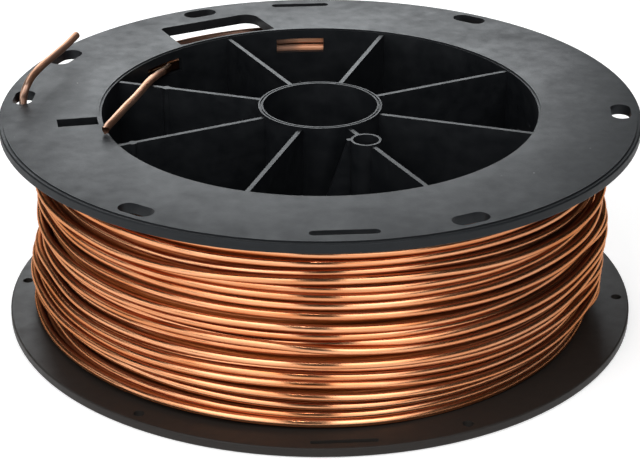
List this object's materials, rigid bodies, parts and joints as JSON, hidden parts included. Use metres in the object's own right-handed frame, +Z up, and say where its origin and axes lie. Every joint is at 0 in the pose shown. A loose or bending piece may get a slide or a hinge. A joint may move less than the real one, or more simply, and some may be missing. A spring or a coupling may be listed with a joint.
{
  "type": "wire spool",
  "caption": "Low, wide reel with two slotted flanges, an open webbed hub with a drive-pin tube, and solid wire wound on its barrel with both ends free.",
  "frame": {"origin": "on the spool's axis, at the underside of the lower flange", "axes": "+Z up along the spool's axis, towards the upper flange's face; +X and +Y across the flanges, with the drive-pin tube at 297 degrees from +X towards +Y"},
  "size_m": [0.2666, 0.2666, 0.1014],
  "materials": {
    "reel_plastic": "black moulded polystyrene, satin, with light handling marks",
    "copper_wire": null
  },
  "bodies": {
    "spool": {"upper_flange": "reel_plastic", "upper_barrel": "reel_plastic", "upper_hub": "reel_plastic", "upper_pin_tube": "reel_plastic", "upper_web_1": "reel_plastic", "upper_web_2": "reel_plastic", "upper_web_3": "reel_plastic", "upper_web_4": "reel_plastic", "upper_web_5": "reel_plastic", "upper_web_6": "reel_plastic", "upper_web_7": "reel_plastic", "upper_web_8": "reel_plastic", "lower_flange": "reel_plastic", "lower_barrel": "reel_plastic", "lower_hub": "reel_plastic", "lower_pin_tube": "reel_plastic", "lower_web_1": "reel_plastic", "lower_web_2": "reel_plastic", "lower_web_3": "reel_plastic", "lower_web_4": "reel_plastic", "lower_web_5": "reel_plastic", "lower_web_6": "reel_plastic", "lower_web_7": "reel_plastic", "lower_web_8": "reel_plastic", "wire_core": "copper_wire", "wire_outer_layer": "copper_wire", "wire_outer_end": "copper_wire", "wire_inner_end": "copper_wire"}
  },
  "joints": []
}
